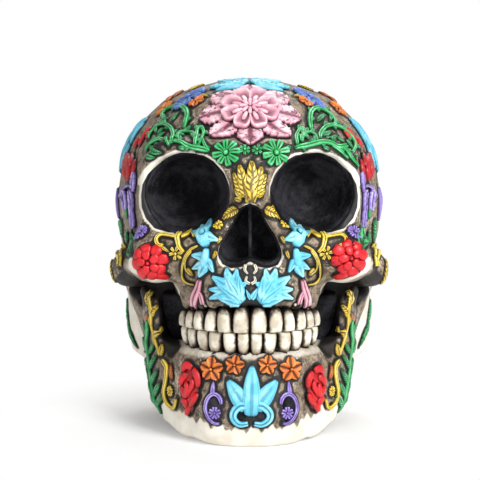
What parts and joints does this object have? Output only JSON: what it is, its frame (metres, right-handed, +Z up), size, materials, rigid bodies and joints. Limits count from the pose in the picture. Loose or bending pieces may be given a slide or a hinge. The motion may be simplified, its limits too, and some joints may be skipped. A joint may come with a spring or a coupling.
{
  "type": "decorative skull",
  "caption": "Free-standing painted skull ornament with relief flowers, leaves and scrolls glued on a cast cranium and jaw, black-lined sockets and set-in tooth rows.",
  "frame": {"origin": "centre of the bounding box's bottom face, on the table", "axes": "+Z up, the face looks along -Y, +X to the right of a viewer who faces the skull"},
  "size_m": [0.1388, 0.1752, 0.1681],
  "materials": {
    "bone": "antique-washed matt paint over cast resin",
    "tooth": "satin ivory paint with brown wash",
    "black_lacquer": "satin black lacquer",
    "pink": "satin enamel paint with dark wash in the grooves",
    "cyan": "satin enamel paint with dark wash in the grooves",
    "blue": "satin enamel paint with dark wash in the grooves",
    "green": "satin enamel paint with dark wash in the grooves",
    "gold": "satin enamel paint with dark wash in the grooves",
    "red": "satin enamel paint with dark wash in the grooves",
    "purple": "satin enamel paint with dark wash in the grooves",
    "orange": "satin enamel paint with dark wash in the grooves"
  },
  "bodies": {
    "root": {"cranium": "bone", "mandible": "bone", "upper_teeth": "tooth", "lower_teeth": "tooth", "eye_cup_left": "black_lacquer", "eye_cup_right": "black_lacquer", "nose_cup": "black_lacquer", "throat_web": "black_lacquer", "dahlia_leaves": "pink", "dahlia_blossom": "pink", "crown_leaf_left": "cyan", "crown_leaf_right": "cyan", "blue_flower_left": "blue", "blue_flower_right": "blue", "brow_vine_left": "green", "brow_vine_right": "green", "brow_flower_left": "green", "brow_flower_right": "green", "gold_leaf_fan": "gold", "cheek_bell_left": "cyan", "cheek_bell_right": "cyan", "cheek_scroll_left": "gold", "cheek_scroll_right": "gold", "cheek_rose_left": "red", "cheek_rose_right": "red", "pink_drop_left": "pink", "pink_drop_right": "pink", "acanthus_left": "cyan", "acanthus_right": "cyan", "temple_feather_left": "cyan", "temple_feather_right": "cyan", "temple_rose_left": "red", "temple_rose_right": "red", "temple_iris_left": "purple", "temple_iris_right": "purple", "temple_leaf_left": "green", "temple_leaf_right": "green", "arch_leaf_left": "gold", "arch_leaf_right": "gold", "ramus_vine_left": "green", "ramus_vine_right": "green", "ramus_stem_left": "gold", "ramus_stem_right": "gold", "chin_rose_left": "red", "chin_rose_right": "red", "chin_star_outer_left": "orange", "chin_star_outer_right": "orange", "chin_star_inner_left": "orange", "chin_star_inner_right": "orange", "chin_drop_left": "purple", "chin_drop_right": "purple", "chin_hook_left": "gold", "chin_hook_right": "gold", "chin_lily": "cyan", "parietal_rose_left": "red", "parietal_rose_right": "red", "parietal_vine_left": "green", "parietal_vine_right": "green", "back_dahlia": "pink"}
  },
  "joints": []
}
